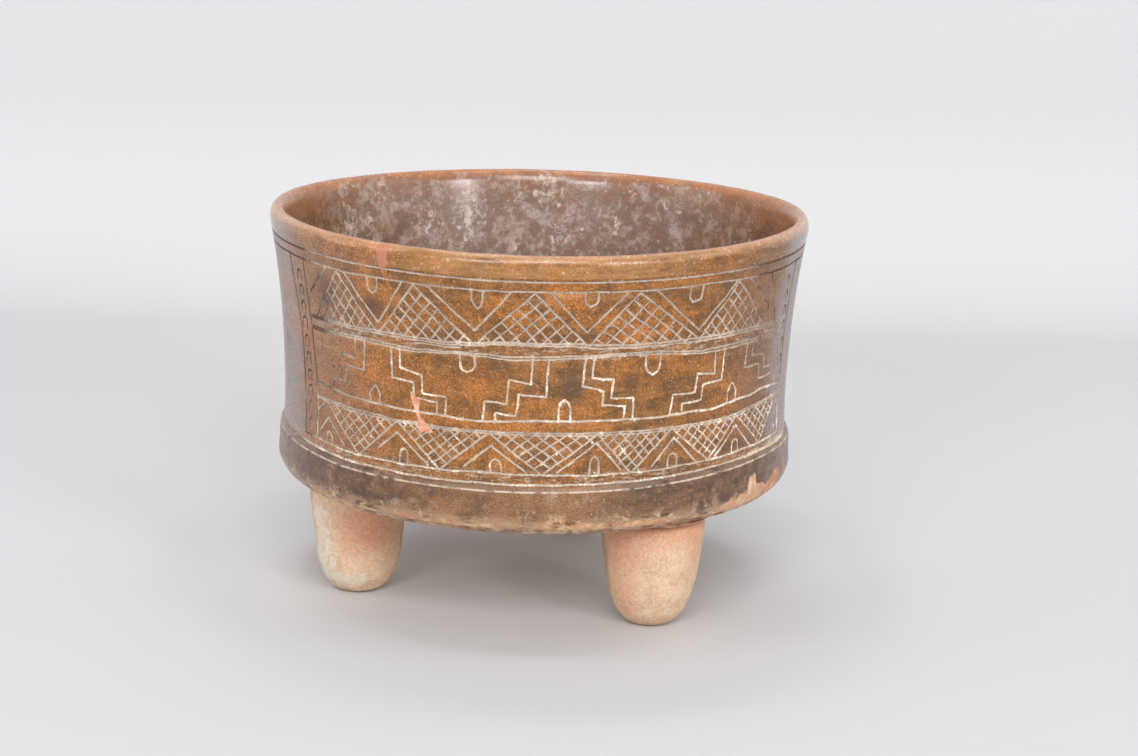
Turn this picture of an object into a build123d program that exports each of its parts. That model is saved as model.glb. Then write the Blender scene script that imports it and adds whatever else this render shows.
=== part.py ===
"""A tripod vessel of fired clay: a round floor slab, a flaring wall that ends in a rolled rim,
a band round the foot of the wall and three solid nub feet.

Sizes are in millimetres. The vessel stands on z = 0 with its axis on Z, and -Y is its front.
Each round piece is a half section in the XZ plane, turned about Z.
"""
import os
from math import asin, cos, degrees, radians, sin, sqrt

from build123d import *

# Overall sizes
overall_height = 144.7
foot_height = 43.0

# The wall: its outside is one long hollow curve, narrowest at the waist
waist_radius = 94.4
waist_rise = 33.0
flare_radius = 355.0
wall_thickness = 6.0

# The rim: the last coil of the wall, whose lip is half an ellipse that leans with the wall
rim_coil_height = 8.9
lip_rise = 6.0

# The floor slab under the wall, and the coil of clay pressed into the corner above it
floor_thickness = 8.4
corner_coil_size = 5.0
corner_coil_hollow = 7.5

# The band round the foot of the wall
band_height = 19.4
band_slope_height = 2.0
band_proud_at_top = 1.4
band_proud_at_foot = 2.0
base_corner_radius = 8.0

# Ring grooves, by their centres: two under the rim coil and two above the band
groove_width = 1.0
rim_groove_drops = (0.8, 4.5)
band_groove_rises = (0.8, 4.0)

# The feet: a taper that ends in a dome with a small worn flat, each at its own bearing
foot_inset = 1.7
foot_bearings = {"right": 39.9, "left": -73.4, "back": 163.2}
foot_top_radius = 19.2
foot_dome_radius = 15.6
foot_dome_height = 14.0
worn_flat_radius = 4.0

# The pad of wet clay that joins each foot to the floor
lute_thickness = 1.0
lute_inset = 1.2

# Heights that follow from the sizes above
foot_length = foot_height - lute_thickness
underside_z = foot_height
floor_top_z = underside_z + floor_thickness
coil_top_z = floor_top_z + corner_coil_size
waist_z = underside_z + waist_rise
band_top_z = underside_z + band_height
shoulder_z = band_top_z - band_slope_height
base_corner_z = underside_z + base_corner_radius
seam_z = overall_height - rim_coil_height
lip_z = overall_height - lip_rise


def wall_point(z, depth=0.0):
    """The point of the half section at height z, at a depth under the wall's outside."""
    centre_radius = waist_radius + flare_radius
    return (centre_radius - sqrt((flare_radius + depth) ** 2 - (z - waist_z) ** 2), z)


# Radii that follow from them: the slab and the wall share one upright seat for the band
seat_radius = wall_point(band_top_z)[0]
band_face_radius = seat_radius + band_proud_at_top
band_foot_radius = seat_radius + band_proud_at_foot
underside_radius = band_foot_radius - base_corner_radius
corner_reach = seat_radius - underside_radius
seat_low_z = base_corner_z - sqrt(base_corner_radius**2 - corner_reach**2)
inner_corner = wall_point(floor_top_z, wall_thickness)
foot_circle_radius = underside_radius - foot_inset - foot_top_radius

# The lip's half ellipse: its long axis leans with the wall, and its top is the overall height
lip_half_width = wall_thickness / 2
lip_lean = asin((lip_z - waist_z) / (flare_radius + lip_half_width))
lip_reach = sqrt(lip_rise**2 - (lip_half_width * sin(lip_lean)) ** 2) / cos(lip_lean)

# The floor slab, whose lower edge is rounded up to the band
with BuildPart() as floor_slab:
    with BuildSketch(Plane.XZ):
        with BuildLine():
            underside = Line((0, underside_z), (underside_radius, underside_z))
            corner = TangentArc(underside @ 1, (seat_radius, seat_low_z), tangent=underside % 1)
            Polyline(corner @ 1, (seat_radius, floor_top_z), (0, floor_top_z), underside @ 0)
        make_face()
    revolve(axis=Axis.Z)
floor_slab.part.label = "floor_slab"

# The wall, which stands on the edge of the slab and carries the ring grooves
with BuildPart() as wall:
    with BuildSketch(Plane.XZ):
        with BuildLine():
            seat = Polyline(inner_corner, (seat_radius, floor_top_z), (seat_radius, band_top_z))
            outside = ThreePointArc(seat @ 1, wall_point(waist_z), wall_point(seam_z))
            seam = Line(outside @ 1, wall_point(seam_z, wall_thickness))
            ThreePointArc(seam @ 1, wall_point(waist_z, wall_thickness), seat @ 0)
        make_face()
        grooves_under_rim = [seam_z - drop for drop in rim_groove_drops]
        grooves_over_band = [band_top_z + rise for rise in band_groove_rises]
        with Locations([wall_point(z) for z in grooves_under_rim + grooves_over_band]):
            Circle(groove_width / 2, mode=Mode.SUBTRACT)
    revolve(axis=Axis.Z)
wall.part.label = "wall"

# The rim coil, rounded over into the lip
with BuildPart() as rim_coil:
    with BuildSketch(Plane.XZ):
        with BuildLine():
            lip = EllipticalCenterArc(
                wall_point(lip_z, lip_half_width),
                lip_half_width,
                lip_reach,
                start_angle=0,
                arc_size=180,
                rotation=-degrees(lip_lean),
            )
            middle_z = (seam_z + (lip @ 0).Y) / 2
            outside = ThreePointArc(lip @ 0, wall_point(middle_z), wall_point(seam_z))
            seam = Line(outside @ 1, wall_point(seam_z, wall_thickness))
            ThreePointArc(seam @ 1, wall_point(middle_z, wall_thickness), lip @ 1)
        make_face()
    revolve(axis=Axis.Z)
rim_coil.part.label = "rim_coil"

# The band, pressed on over the joint of wall and slab, with a sloping shoulder
with BuildPart() as basal_band:
    with BuildSketch(Plane.XZ):
        with BuildLine():
            corner = TangentArc(
                (band_foot_radius, base_corner_z),
                (seat_radius, seat_low_z),
                tangent=(0, -1),
            )
            Polyline(
                corner @ 1,
                (seat_radius, band_top_z),
                (band_face_radius, shoulder_z),
                corner @ 0,
            )
        make_face()
    revolve(axis=Axis.Z)
basal_band.part.label = "basal_band"

# The coil in the inner corner, smoothed into a hollow between floor and wall
with BuildPart() as corner_coil:
    with BuildSketch(Plane.XZ):
        with BuildLine():
            middle_z = (floor_top_z + coil_top_z) / 2
            base = Line((inner_corner[0] - corner_coil_size, floor_top_z), inner_corner)
            back = ThreePointArc(
                base @ 1,
                wall_point(middle_z, wall_thickness),
                wall_point(coil_top_z, wall_thickness),
            )
            RadiusArc(back @ 1, base @ 0, corner_coil_hollow)
        make_face()
    revolve(axis=Axis.Z)
corner_coil.part.label = "corner_coil"

# The feet and the pads of clay that hold them
feet = []
lutes = []
for name, bearing in foot_bearings.items():
    foot_x = foot_circle_radius * sin(radians(bearing))
    foot_y = -foot_circle_radius * cos(radians(bearing))

    with BuildPart() as foot:
        with BuildSketch(Plane(origin=(foot_x, foot_y, 0), x_dir=(1, 0, 0), z_dir=(0, -1, 0))):
            with BuildLine():
                flank = Line((foot_top_radius, foot_length), (foot_dome_radius, foot_dome_height))
                dome = TangentArc(flank @ 1, (worn_flat_radius, 0), tangent=flank % 1)
                Polyline(dome @ 1, (0, 0), (0, foot_length), flank @ 0)
            make_face()
        revolve(axis=Axis((foot_x, foot_y, 0), (0, 0, 1)))
    foot.part.label = "foot_" + name
    feet.append(foot.part)

    with BuildPart() as lute:
        with BuildSketch(Plane(origin=(foot_x, foot_y, foot_length), z_dir=(0, 0, 1))):
            Circle(foot_top_radius - lute_inset)
        extrude(amount=lute_thickness)
    lute.part.label = "lute_" + name
    lutes.append(lute.part)

os.makedirs("parts", exist_ok=True)
pieces = [floor_slab.part, wall.part, rim_coil.part, basal_band.part, corner_coil.part]
for piece in pieces + feet + lutes:
    export_step(piece, "parts/" + piece.label + ".step")
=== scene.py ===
"""A tripod bowl of burnished clay with incised panels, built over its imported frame.

Shapes are written in millimetres and brought to metres when each piece is finished. A bearing is
the angle in degrees round the vessel's axis from its front, which faces -Y, towards +X.
"""

import math
import random

import bmesh
import bpy
import numpy as np
from mathutils import Matrix, Vector, noise


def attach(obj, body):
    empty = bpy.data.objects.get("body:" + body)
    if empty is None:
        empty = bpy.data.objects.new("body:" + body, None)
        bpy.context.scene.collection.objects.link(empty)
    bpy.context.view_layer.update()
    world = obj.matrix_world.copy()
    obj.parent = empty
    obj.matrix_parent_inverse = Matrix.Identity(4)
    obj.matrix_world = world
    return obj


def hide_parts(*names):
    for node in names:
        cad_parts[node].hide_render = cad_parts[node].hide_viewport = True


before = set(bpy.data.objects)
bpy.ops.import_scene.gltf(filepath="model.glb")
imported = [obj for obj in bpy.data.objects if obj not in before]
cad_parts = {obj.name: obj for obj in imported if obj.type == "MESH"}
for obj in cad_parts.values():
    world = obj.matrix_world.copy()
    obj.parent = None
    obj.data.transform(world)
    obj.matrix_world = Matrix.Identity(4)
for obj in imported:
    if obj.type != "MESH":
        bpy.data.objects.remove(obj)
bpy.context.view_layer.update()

MM = 0.001

# The turned shape: a hollow wall, narrowest at the waist, and what stands on it
waist_radius = 94.4
waist_z = 76.0
flare_radius = 355.0
wall_thickness = 6.0
seat_radius = 94.66
underside_z = 43.0
floor_top_z = 51.4
seam_z = 135.8
crest_z = 144.0
lip_half_width = 3.0
lip_reach = 6.07

# The flat that the band seats on ends here, and the band's lower corner turns about this centre
seat_top_z = 62.4
corner_centre = (86.9, 52.6)
corner_reach = (9.7, 9.2)
corner_step = 6.3

# The feet end inside the pad of clay that joins them to the floor
foot_top_z = 42.0

# The unrolled outside of the wall, where the lines are cut: one half of the ring
roll_radius = 96.0
sheet_low_z = 56.0
half_start = -86.5
half_columns = 120
sheet_rows = 32
cell_size = 2.5
cut_slack = 0.12
snap_distance = 0.02
flake_edge = 0.15

# A stroke of the graver: its sides slope down to a floor 0.6 of its width
stroke_width = 0.9
stroke_floor = 0.6
open_depth = 0.4
filled_depth = 0.28
flake_depth = 0.32


def wall_radius(z, depth=0.0):
    """The wall's radius at a height, at a depth under its outside."""
    return waist_radius + flare_radius - math.sqrt((flare_radius + depth) ** 2 - (z - waist_z) ** 2)


def ease(low, high, x):
    """A smooth step from 0 at low to 1 at high."""
    t = min(1.0, max(0.0, (x - low) / (high - low)))
    return t * t * (3 - 2 * t)


# The level lines of the panel, as bearing and height along each
line_a = [(-86.5, 135.2), (-50, 135.0), (0, 134.6), (50, 134.8), (70, 135.1), (93.5, 135.2)]
line_b = [(-86.5, 131.6), (-66, 131.6), (-45, 131.1), (-20, 131.1), (0, 131.1), (33, 131.5),
          (56, 131.0), (75, 131.5), (93.5, 131.6)]
line_c = [(-56, 111.5), (-30, 111.6), (-22, 111.2), (-16, 111.7), (-6, 112.5), (8, 112.4),
          (13.6, 111.5), (18, 111.2), (25, 111.7), (48, 111.6), (61, 111.9)]
line_d = [(-56, 107.2), (-50, 107.4), (-41, 108.3), (-31, 107.6), (-25, 107.4), (-16, 108.2),
          (-4.5, 107.2), (4.5, 107.8), (16, 108.5), (26, 108.5), (36, 107.1), (40, 106.9),
          (50, 107.5), (63, 107.2)]
line_e = [(-55.3, 87.6), (-50, 86.9), (-40, 86.2), (-30, 85.3), (-20, 85.1), (-12, 84.4),
          (0, 85.3), (20, 85.3), (26, 85.1), (36, 85.8), (41, 85.3), (45, 86.2), (54, 87.1),
          (59, 87.9), (63, 87.4), (70, 86.4)]
line_f = [(-55.2, 82.0), (-40, 81.5), (-30, 81.1), (-20, 80.7), (20, 80.6), (40, 80.7),
          (49, 81.2), (54, 82.1), (67.5, 82.7)]
line_g = [(-61, 67.1), (-55, 66.8), (-44, 65.9), (-30, 65.9), (-20, 66.0), (-11, 66.5),
          (-2, 66.1), (10, 66.1), (25, 66.4), (40, 67.1), (49, 67.5), (60, 67.8), (70.3, 67.8)]
line_h = [(-86.5, 64.7), (-67, 64.2), (-54, 63.5), (-45, 62.8), (-30, 62.6), (-10, 62.5),
          (7, 62.7), (24, 63.2), (40, 64.2), (49, 64.6), (58, 65.1), (75, 64.9), (93.5, 64.7)]

# The height of the ring over the band at the front
band_ring_z = 62.6


def height_on(line, bearing):
    """The height of a level line at a bearing."""
    for (b0, z0), (b1, z1) in zip(line, line[1:]):
        if bearing <= b1:
            return z0 + (z1 - z0) * (bearing - b0) / (b1 - b0)
    return line[-1][1]


def on_front_half(bearing):
    """The place on the front half that a bearing repeats."""
    return (bearing - half_start) % 180.0 + half_start


def band_lift(bearing):
    """How far the band's upper edge rises above its height at the front, the same on each half."""
    return height_on(line_h, on_front_half(bearing)) - band_ring_z


def unrolled(bearing, z):
    """Where a place on the wall lies on the flat sheet."""
    return (math.radians(bearing) * roll_radius, z)


class Panel:
    """The strokes of one panel, each a run of points with a width."""

    def __init__(self, seed):
        """An empty panel, and the unsteady hand that will cut it."""
        self.strokes = []
        self.hand = random.Random(seed)

    def stroke(self, points, width=stroke_width):
        """One stroke through points given as bearing and height."""
        places = [Vector((*unrolled(b, z), 0.0)) for b, z in points]
        self.strokes.append((places, width))

    def shaky(self, start, end, slip=0.34):
        """A thin straight stroke whose ends miss a little."""
        nudge = [(b + self.hand.uniform(-slip, slip) / 1.7, z + self.hand.uniform(-slip, slip))
                 for b, z in (start, end)]
        self.stroke(nudge, 0.8)

    def retraced(self, line, width, drift=0.42):
        """A level line gone over twice, so that it is ragged and double in places."""
        for side in (-1, 1):
            points = [(b, z + side * drift + self.hand.uniform(-0.25, 0.25)) for b, z in line]
            self.stroke(points, width)

    def hatching(self, left, right, apex, count):
        """Crossed strokes inside a triangle, parallel to its two sides."""
        for k in range(1, count + 1):
            t = k / (count + 1)
            foot = mixed(left, right, t)
            self.shaky(foot, mixed(apex, right, t))
            foot = mixed(right, left, t)
            self.shaky(foot, mixed(apex, left, t))

    def hatched_triangle(self, left, apex, right):
        """A triangle with six strokes of hatching each way."""
        self.stroke([left, apex, right])
        self.hatching(left, right, apex, 6)

    def hanging_loop(self, left, right, top, tip, pointed=False):
        """A narrow loop that hangs from a level line, or stands on it when its tip is above."""
        middle = (left + right) / 2
        run = tip - top
        drawn_in, shoulder, straight = (0.45, 0.82, 0.55) if pointed else (0.3, 0.86, 0.6)
        bend = (middle - left) * drawn_in
        rounding = [(left, straight), (left + bend, shoulder), (middle, 1.0),
                    (right - bend, shoulder), (right, straight)]
        points = [(left, top)] + [(b, top + run * t) for b, t in rounding] + [(right, top)]
        self.stroke(points)


def mixed(start, end, t):
    """The point a share t of the way from start to end."""
    return (start[0] + (end[0] - start[0]) * t, start[1] + (end[1] - start[1]) * t)


def level_lines(panel):
    """The two rings under the rim, the rings over the band and the lines between the registers."""
    panel.stroke(line_a, 0.8)
    panel.stroke(line_b, 0.8)
    panel.retraced(line_c, 0.85)
    panel.retraced(line_d, 0.8)
    panel.stroke(line_e, 1.0)
    panel.retraced(line_f, 0.75, 0.35)
    panel.stroke(line_g, 0.85)
    panel.stroke(line_h, 0.95)
    panel.stroke([(-25, 109.9), (-16, 110.1)], 0.7)


def upper_register(panel):
    """Hatched triangles that stand on the upper line, the zigzag outside them and its loops."""
    triangles = [(-54.0, -45.4, -35.0), (-34.3, -25.4, -13.0), (-12.3, -0.5, 10.2),
                 (10.7, 20.7, 35.6), (35.6, 45.2, 56.4)]
    for left, middle, right in triangles:
        low_left = (left, height_on(line_c, left))
        low_right = (right, height_on(line_c, right))
        panel.hatched_triangle(low_left, (middle, 130.6), low_right)
    zigzag = [(-43.1, -34.5, 115.1, -27.9), (-22.5, -12.5, 116.5, -5.0), (2.5, 10.1, 116.9, 18.4),
              (24.0, 35.2, 115.1, 44.7)]
    for start, middle, low, end in zigzag:
        panel.stroke([(start, height_on(line_b, start)), (middle, low), (end, height_on(line_b, end))])
    panel.stroke([(48.4, 131.2), (53.0, 125.2), (57.9, 117.8)])
    panel.stroke([(-48.6, 131.2), (-52.0, 126.0), (-55.8, 119.4)])
    panel.hanging_loop(-36.5, -34.1, 131.2, 125.5)
    panel.hanging_loop(-13.1, -10.8, 131.3, 124.3, pointed=True)
    panel.hanging_loop(9.4, 12.0, 131.4, 126.2)
    panel.stroke([(31.9, 131.7), (32.0, 127.6), (32.9, 125.7), (34.9, 126.2), (35.0, 131.6)])


def step_register(panel):
    """Paired step lines, leaning left and right by turns, with loops between them."""
    steps = [
        [(-41.1, 108.3), (-41.5, 100.4), (-46.2, 101.2), (-46.5, 95.0), (-50.2, 95.1)],
        [(-38.4, 108.1), (-39.0, 97.1), (-44.0, 97.2), (-45.0, 91.0), (-48.4, 91.6), (-48.8, 86.9)],
        [(-31.5, 107.6), (-31.5, 96.2), (-26.3, 95.6), (-26.1, 90.0), (-20.9, 89.4), (-20.8, 85.2)],
        [(-29.3, 107.5), (-29.5, 100.5), (-24.3, 98.5), (-24.1, 92.0), (-18.7, 91.7), (-18.9, 85.2)],
        [(-0.6, 107.4), (-1.1, 98.5), (-5.5, 99.6), (-5.9, 91.0), (-10.5, 91.8), (-10.9, 84.6)],
        [(2.5, 107.6), (2.2, 93.8), (-3.3, 94.6), (-4.0, 86.9), (-8.3, 87.6), (-8.5, 84.2)],
        [(10.2, 108.2), (9.6, 98.0), (14.2, 96.0), (14.0, 90.8), (18.9, 90.2), (18.7, 85.4)],
        [(12.0, 108.3), (11.6, 101.0), (16.3, 99.7), (15.7, 93.3), (20.6, 92.9), (20.8, 85.4)],
        [(40.7, 107.0), (41.0, 98.0), (36.1, 99.2), (35.6, 92.4), (30.0, 92.8), (29.5, 85.3)],
        [(43.5, 107.2), (43.1, 95.5), (37.8, 94.9), (37.5, 89.4), (32.4, 89.0), (32.7, 85.6)],
        [(51.0, 107.5), (50.9, 97.9), (56.5, 97.7), (57.0, 92.0), (63.4, 92.1)],
        [(53.3, 107.4), (53.2, 101.7), (58.6, 100.5), (59.0, 95.5), (65.2, 94.9), (65.9, 87.0)],
    ]
    for points in steps:
        panel.stroke(points)
    panel.hanging_loop(-15.8, -12.6, 108.0, 101.4)
    panel.hanging_loop(22.9, 26.4, 108.5, 100.9)
    panel.hanging_loop(-37.3, -34.6, 86.0, 92.4, pointed=True)
    panel.hanging_loop(4.8, 7.3, 85.3, 93.2)
    panel.hanging_loop(45.4, 48.2, 86.2, 93.6, pointed=True)


def lower_register(panel):
    """Hatched triangles that hang from the lower line, chevrons between them and small arches."""
    peaks = [-51.5, -30.2, -9.4, 13.2, 30.2, 49.1, 67.0]
    pits = [-40.6, -20.2, 1.6, 20.8, 40.2, 59.0]
    for left, right, middle in zip(peaks, peaks[1:], pits):
        high_left = (left, height_on(line_f, left))
        high_right = (right, height_on(line_f, right))
        apex = (middle, height_on(line_g, middle))
        panel.hatched_triangle(high_left, apex, high_right)
    panel.stroke([(-51.9, 82.0), (-54.9, 77.6)])
    chevrons = [(-54.5, 69.5, -50.9, 75.8, -44.9, 67.4), (-35.3, 69.8, -30.2, 76.8, -22.7, 66.9),
                (-15.2, 67.3, -8.9, 76.2, -1.5, 66.8), (4.8, 67.0, 13.0, 77.6, 18.9, 67.0),
                (25.0, 67.2, 30.9, 77.2, 36.9, 67.4), (42.3, 68.0, 49.0, 77.4, 55.0, 67.9)]
    for b0, z0, b1, z1, b2, z2 in chevrons:
        panel.stroke([(b0, z0), (b1, z1), (b2, z2)])
    arches = [(-50.5, 1.0, 70.9), (-28.6, 0.95, 71.5), (-7.9, 1.15, 71.4), (12.7, 0.95, 72.7),
              (30.6, 1.15, 71.7), (48.9, 1.15, 72.3), (66.9, 0.9, 71.8)]
    for middle, half, top in arches:
        panel.hanging_loop(middle - half, middle + half, height_on(line_g, middle), top)


def borders(panel):
    """The upright borders at the panel's ends: two lines with a chain of small loops between."""
    panel.stroke([(-63.8, 131.5), (-63.5, 125.0), (-62.5, 115.0), (-61.4, 105.0), (-61.3, 90.0),
                  (-61.0, 80.0), (-60.6, 67.1)], 1.15)
    panel.stroke([(-57.4, 131.3), (-57.0, 117.0), (-56.3, 108.0), (-55.9, 95.0), (-55.3, 88.0),
                  (-55.2, 78.0), (-55.3, 67.0)], 1.0)
    panel.stroke([(56.7, 131.0), (58.0, 125.0), (60.6, 116.0), (62.6, 110.0), (65.0, 104.0),
                  (66.9, 97.0), (67.6, 88.0), (67.9, 78.0), (67.7, 67.8)])
    panel.stroke([(70.6, 131.4), (70.2, 112.0), (70.4, 95.0), (70.3, 67.9)], 1.15)
    chain_start = 69.0
    z = chain_start
    while z < 126.0:
        high = panel.hand.uniform(3.6, 4.6)
        middle = -58.1 - 0.035 * (z - chain_start)
        panel.hanging_loop(middle - 0.95, middle + 0.95, z, z + high)
        middle = 69.1 - 0.075 * max(0.0, z - 95.0)
        panel.hanging_loop(middle - 0.7, middle + 0.7, z + 0.8, z + high)
        z += high + panel.hand.uniform(1.7, 2.4)


def paleness(bearing, z):
    """How pale the filling of a stroke is at a place: 0 for an open dark line, 1 for cream."""
    upper = ease(113.0, 118.0, z)
    steps = ease(84.0, 86.0, z) * (1 - ease(104.0, 106.0, z))
    value = 0.68 - 0.12 * upper + 0.18 * steps
    value += 0.16 * ease(26.0, 44.0, bearing) * (1 - ease(84.0, 88.0, z))
    value += 0.1 * ease(-22.0, -34.0, bearing) * upper
    value -= 0.55 * ease(-43.0, -53.0, bearing) * ease(80.0, 100.0, z) * (1 - ease(126.0, 131.0, z))
    value -= 0.4 * ease(-28.0, -44.0, bearing) * steps
    value -= 0.5 * ease(-56.4, -57.6, bearing)
    value -= 0.35 * ease(-54.0, -56.0, bearing) * ease(84.0, 92.0, z)
    value -= 0.32 * ease(44.0, 56.0, bearing) * ease(86.0, 98.0, z)
    value -= 0.4 * ease(64.0, 70.0, bearing) * ease(78.0, 96.0, z)
    value -= 0.3 * ease(46.0, 62.0, abs(bearing)) * ease(126.0, 131.0, z)
    if z < 66.0:
        value = 0.82 - 0.4 * ease(-60.0, -68.0, bearing) - 0.45 * ease(74.0, 84.0, bearing)
    return min(1.0, max(0.0, value))


# Where the slip has flaked off the wall, as bearings and heights round the flake
flake_outline = [(-27.1, 92.5), (-26.3, 91.2), (-24.6, 89.0), (-24.9, 86.8), (-25.1, 85.3),
                 (-24.3, 83.6), (-23.0, 81.2), (-21.6, 78.8), (-22.6, 78.2), (-23.6, 78.5),
                 (-24.6, 77.4), (-25.4, 79.6), (-25.3, 83.0), (-25.8, 85.6), (-26.6, 88.6)]

# Fire clouds and warm patches on the outside: bearing, height, spread each way and strength. The last
# two fire clouds, tall at the limbs, are painted shade.
fire_clouds_and_limb_shade = [(-35.5, 120.5, 3.6, 4.0, 1.0), (-18, 125, 5, 5, 0.4), (7.5, 98, 3.5, 8, 0.9),
               (-14, 104.5, 3.5, 2.5, 0.6), (33, 123.5, 4, 2.5, 0.45), (-24, 112, 5, 2, 0.4),
               (-50, 122, 6, 9, 0.8), (48, 70, 9, 4, 0.8), (14, 71, 8, 4, 0.45),
               (22, 88, 4, 6, 0.4), (57, 84, 12, 3, 0.55), (-30, 70, 9, 4, 0.35),
               (-52, 73, 8, 6, 0.5), (-47, 109, 8, 3, 0.3), (46, 90, 8, 6, 0.25),
               (10, 110, 60, 1.6, 0.4), (-72, 100, 6, 40, 0.55), (78, 100, 8, 40, 0.3)]
warm_patches = [(-5, 122, 12, 7, 1.0), (21, 120, 11, 8, 0.9), (-27, 124, 7, 5, 0.4),
                (-8, 83.2, 15, 2.2, 1.2), (-12, 97, 6, 6, 0.9), (-38, 97, 8, 8, 0.7),
                (-16, 79, 12, 6, 0.9), (-9, 70, 8, 4, 0.6), (4, 90, 9, 4, 0.7), (-36, 142, 9, 2, 1.0),
                (-20, 92, 7, 5, 0.4), (-45, 101, 7, 6, 0.3), (24, 106, 5, 3, 0.3),
                (42, 88, 4, 6, 0.4), (30, 133, 26, 1.5, 0.6), (45, 142, 10, 1.5, 0.6)]


def cloud(places, bearing, z):
    """The strength of a set of soft patches at a place."""
    total = 0.0
    for b, height, wide, high, amount in places:
        total += amount * math.exp(-(((bearing - b) / wide) ** 2) - ((z - height) / high) ** 2)
    return min(1.0, total)


def bearing_of(co):
    """The bearing of a point, in degrees."""
    return math.degrees(math.atan2(co.x, -co.y))


def new_layers(bm, *names):
    """Float layers on the points of a mesh, one for each mask that its material reads."""
    return {name: bm.verts.layers.float.new(name) for name in names}


def sheet_of_clay():
    """The unrolled outside of half the wall, in cells of about 2.5 mm."""
    bm = bmesh.new()
    bmesh.ops.create_grid(bm, x_segments=half_columns, y_segments=sheet_rows, size=0.5)
    width = math.pi * roll_radius
    height = seam_z - sheet_low_z
    bmesh.ops.scale(bm, vec=(width, height, 1.0), verts=bm.verts)
    left = math.radians(half_start) * roll_radius
    bmesh.ops.translate(bm, vec=(left + width / 2, sheet_low_z + height / 2, 0.0), verts=bm.verts)
    return bm


def cell_count(distance):
    """How many cells there are in a distance along the sheet."""
    return int(distance // cell_size)


def cell_key(column, row):
    """One number for a cell, which can be written on its faces."""
    return (column + 500) * 1000 + row


class Cutter:
    """Cuts straight edges into a flat sheet, working only in the cells near each cut."""

    def __init__(self, bm):
        """Stores the sheet's faces by cell."""
        self.bm = bm
        self.cells = {}
        self.layer = bm.faces.layers.int.new("cell")
        for face in bm.faces:
            place = face.calc_center_median()
            self.keep(face, cell_key(cell_count(place.x), cell_count(place.y)))

    def keep(self, face, key):
        """Puts a face in the store under its cell."""
        face[self.layer] = key
        self.cells.setdefault(key, []).append(face)

    def lift_out(self, start, end, reach):
        """Takes the faces of the cells round a run out of the store."""
        columns, rows = [range(cell_count(min(start[k], end[k]) - reach) - 1,
                               cell_count(max(start[k], end[k]) + reach) + 2) for k in (0, 1)]
        found = []
        for i in columns:
            for j in rows:
                found.extend(self.cells.pop(cell_key(i, j), []))
        return found

    def slice(self, faces, start, along, across, length, reach, point, normal):
        """Cuts the faces that lie by the run with one upright plane."""
        near = []
        rest = []
        for face in faces:
            spots = [v.co - start for v in face.verts]
            run = [s.dot(along) for s in spots]
            off = [s.dot(across) for s in spots]
            beyond = max(run) < -reach or min(run) > length + reach
            beside = max(off) < -reach or min(off) > reach
            (rest if beyond or beside else near).append(face)
        if not near:
            return faces
        edges = dict.fromkeys(e for f in near for e in f.edges)
        verts = dict.fromkeys(v for f in near for v in f.verts)
        cut = bmesh.ops.bisect_plane(self.bm, geom=[*near, *edges, *verts], dist=snap_distance,
                                     plane_co=point, plane_no=normal)
        return rest + [g for g in cut["geom"] if isinstance(g, bmesh.types.BMFace)]

    def run(self, start, end, offsets, ends=()):
        """Cuts along a straight run at each offset, and across it at each distance in ends."""
        along = (end - start).normalized()
        across = Vector((-along.y, along.x, 0.0))
        length = (end - start).length
        reach = max(abs(x) for x in offsets) + cut_slack
        faces = self.lift_out(start, end, reach)
        for x in offsets:
            faces = self.slice(faces, start, along, across, length, reach, start + across * x, across)
        for x in ends:
            faces = self.slice(faces, start, along, across, length, reach, start + along * x, along)
        for face in faces:
            self.keep(face, face[self.layer])


def cut_strokes(bm, panel):
    """Cuts every stroke of a panel into the sheet, so that edges run along its sides and floor."""
    cutter = Cutter(bm)
    for places, width in panel.strokes:
        half = width / 2
        offsets = (-half, -half * stroke_floor, half * stroke_floor, half)
        for k, (start, end) in enumerate(zip(places, places[1:])):
            ends = []
            if len(places) > 2 and k == 0:
                ends.append(-half)
            if len(places) > 2 and k == len(places) - 2:
                ends.append((end - start).length + half)
            cutter.run(start, end, offsets, ends)
    outline = [Vector((*unrolled(b, z), 0.0)) for b, z in flake_outline]
    for start, end in zip(outline, outline[1:] + outline[:1]):
        cutter.run(start, end, (-flake_edge, flake_edge))
    bm.faces.layers.int.remove(cutter.layer)


def gap_to_run(points, start, end):
    """How far each point of the sheet is from a straight run."""
    run = end - start
    share = np.clip((points - start) @ run / (run @ run), 0.0, 1.0)
    return np.hypot(*(points - start - share[:, None] * run).T)


def stroke_levels(points, panel):
    """How deep in a stroke each point of the sheet is: 0 at its sides, 1 on its floor, else less."""
    level = np.full(len(points), -1.0)
    for places, width in panel.strokes:
        half = width / 2
        for start, end in zip(places, places[1:]):
            gap = gap_to_run(points, np.array(start[:2]), np.array(end[:2]))
            level = np.maximum(level, (1.0 - gap / half) / (1.0 - stroke_floor))
    return np.clip(level, -1.0, 1.0)


def inside_outline(points, outline):
    """Signed distance into an outline: positive inside it."""
    gap = np.full(len(points), 1e9)
    inside = np.zeros(len(points), bool)
    places = [np.array(unrolled(b, z)) for b, z in outline]
    for start, end in zip(places, places[1:] + places[:1]):
        gap = np.minimum(gap, gap_to_run(points, start, end))
        run = end - start
        spans = (points[:, 1] < start[1]) != (points[:, 1] < end[1])
        rise = run[1] if abs(run[1]) > 1e-9 else 1e-9
        left_of = points[:, 0] < start[0] + (points[:, 1] - start[1]) / rise * run[0]
        inside ^= spans & left_of
    return np.where(inside, gap, -gap)


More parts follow.
